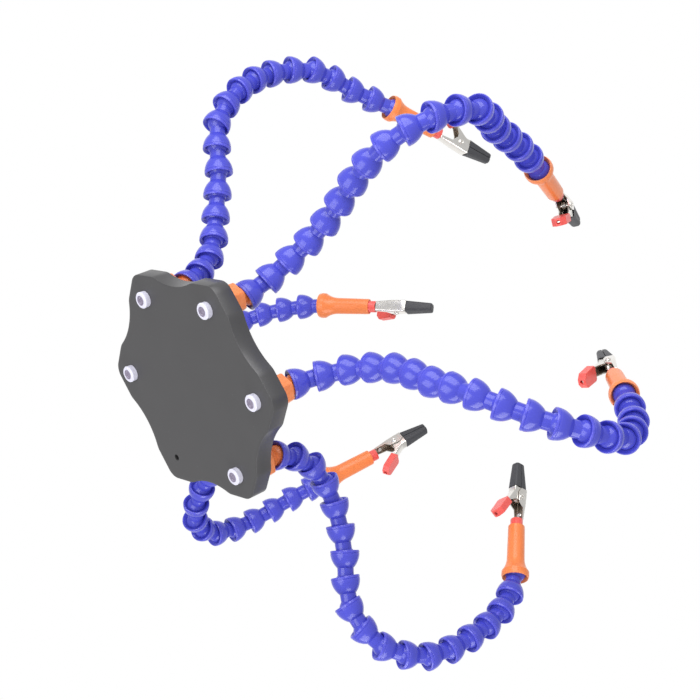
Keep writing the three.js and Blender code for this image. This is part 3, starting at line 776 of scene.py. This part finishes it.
def rivet(arm, place):
    """A tubular rivet through both halves, its rolled head ringed round a hollow."""
    half = 4.7
    head = [(OUTER_HALF + 0.05, 1.0), (OUTER_HALF + 0.05, 1.65), (4.3, 1.7), (half - 0.1, 1.3),
            (half, 1.0), (half - 0.15, 0.7), (3.9, 0.55), (3.9, 0)]
    profile = [(-x, radius) for x, radius in reversed(head)] + head
    bm = turned(profile, steps=24)
    across = in_metres(Matrix.Translation((PIN_X, 0, 0)) @ Matrix.Rotation(math.radians(-90), 4, "Y"))
    add_piece(f"{arm}_clip_rivet", bm, place @ across, f"{arm}_wrist", f"{arm}_clip_pivot_pin",
              ["nickel"])


def wire_screw(arm, place):
    """The slotted screw in the tang that clamps a test lead, its head towards the lever."""
    slot_half = 0.24
    bm = turned([(0, 0), (0, 1.0), (0.85, 1.0), (0.85, 1.5), (1.4, 1.5), (1.7, 1.25), (1.75, 0)], steps=24)
    for side in (1, -1):
        bmesh.ops.bisect_plane(bm, geom=bm.verts[:] + bm.edges[:] + bm.faces[:],
                               plane_co=(0, 0, slot_half * side), plane_no=(0, 0, 1))
    slot = [f for f in bm.faces
            if f.calc_center_median().x > 1.42 and abs(f.calc_center_median().z) < slot_half]
    sunk = bmesh.ops.extrude_face_region(bm, geom=slot)["geom"]
    floor = [g for g in sunk if isinstance(g, bmesh.types.BMVert)]
    bmesh.ops.translate(bm, vec=(-0.5, 0, 0), verts=floor)
    bmesh.ops.delete(bm, geom=slot, context="FACES")
    up = in_metres(Matrix.Translation((SCREW_X, -3.2, 0)) @ Matrix.Rotation(math.radians(90), 4, "Z"))
    add_piece(f"{arm}_wire_screw", bm, place @ up, f"{arm}_wrist", f"{arm}_clip_fixed_jaw", ["nickel"],
              crease=30)


def wire_end(bm, verts, way, length, steps=3):
    """Draws a wire's open end out along a straight line and closes it."""
    edges = list({e for v in verts for e in v.link_edges if all(w in verts for w in e.verts)})
    for _ in range(steps):
        made = bmesh.ops.extrude_edge_only(bm, edges=edges)["geom"]
        verts = [g for g in made if isinstance(g, bmesh.types.BMVert)]
        edges = [g for g in made if isinstance(g, bmesh.types.BMEdge) and all(v in verts for v in g.verts)]
        bmesh.ops.translate(bm, vec=way * (length / steps), verts=verts)
    bmesh.ops.contextual_create(bm, geom=edges)


def torsion_spring(arm, place):
    """Turns of bright wire round the rivet, one leg along the tang's floor and one up to the lever."""
    coil_radius, wire_radius, turns, pitch = 2.0, 0.36, 10 / 3, 0.82
    bm = bmesh.new()
    start = -turns * pitch / 2
    ring = bmesh.ops.create_circle(bm, segments=8, radius=wire_radius,
                                   matrix=Matrix.Translation((0, -coil_radius, start))
                                   @ Matrix.Rotation(math.radians(90), 4, "Y"))["verts"]
    edges = list({e for v in ring for e in v.link_edges})
    steps = round(turns * 18)
    spun = bmesh.ops.spin(bm, geom=ring + edges, cent=(0, 0, 0), axis=(0, 0, 1),
                          dvec=(0, 0, turns * pitch / steps), angle=2 * math.pi * turns, steps=steps)
    last = [g for g in spun["geom_last"] if isinstance(g, bmesh.types.BMVert)]
    wire_end(bm, ring, Vector((-1, -0.03, 0)), 8.5)
    wire_end(bm, last, Vector((-0.5, 0.866, 0)), 4.4)
    middle = in_metres(Matrix.Translation((PIN_X, 0, 0)))
    add_piece(f"{arm}_torsion_spring", bm, place @ middle, f"{arm}_wrist", f"{arm}_clip_spring",
              ["nickel"])


# ---- assembly ----

base_plate()
for lobe in range(LOBES):
    if lobe != BARE_LOBE:
        foot(lobe)

for arm, lobe, roll, points in ARMS:
    centres, nozzle_end = joint_centres(lobe, points)
    fitting(arm, lobe)
    for number in range(LINKS_PER_ARM):
        section = "lower" if number < LOWER_LINKS else "upper"
        link(f"{arm}_link_{number + 1:02d}", centres[number], centres[number + 1], f"{arm}_{section}",
             f"{arm}_{section}_links")
    forward = (nozzle_end - centres[-1]).normalized()
    nozzle(arm, pointing(centres[-1], forward))
    clip_place = pointing(centres[-1] + forward * NOZZLE_LENGTH * MM, forward, math.radians(roll))
    sleeve(arm, clip_place)
    fixed_jaw(arm, clip_place)
    wire_screw(arm, clip_place)
    moving_jaw(arm, clip_place)
    jaw_cover(arm, clip_place, "fixed", f"{arm}_wrist", -1)
    jaw_cover(arm, clip_place, "moving", f"{arm}_jaw", 1)
    lever_grip(arm, clip_place)
    rivet(arm, clip_place)
    torsion_spring(arm, clip_place)
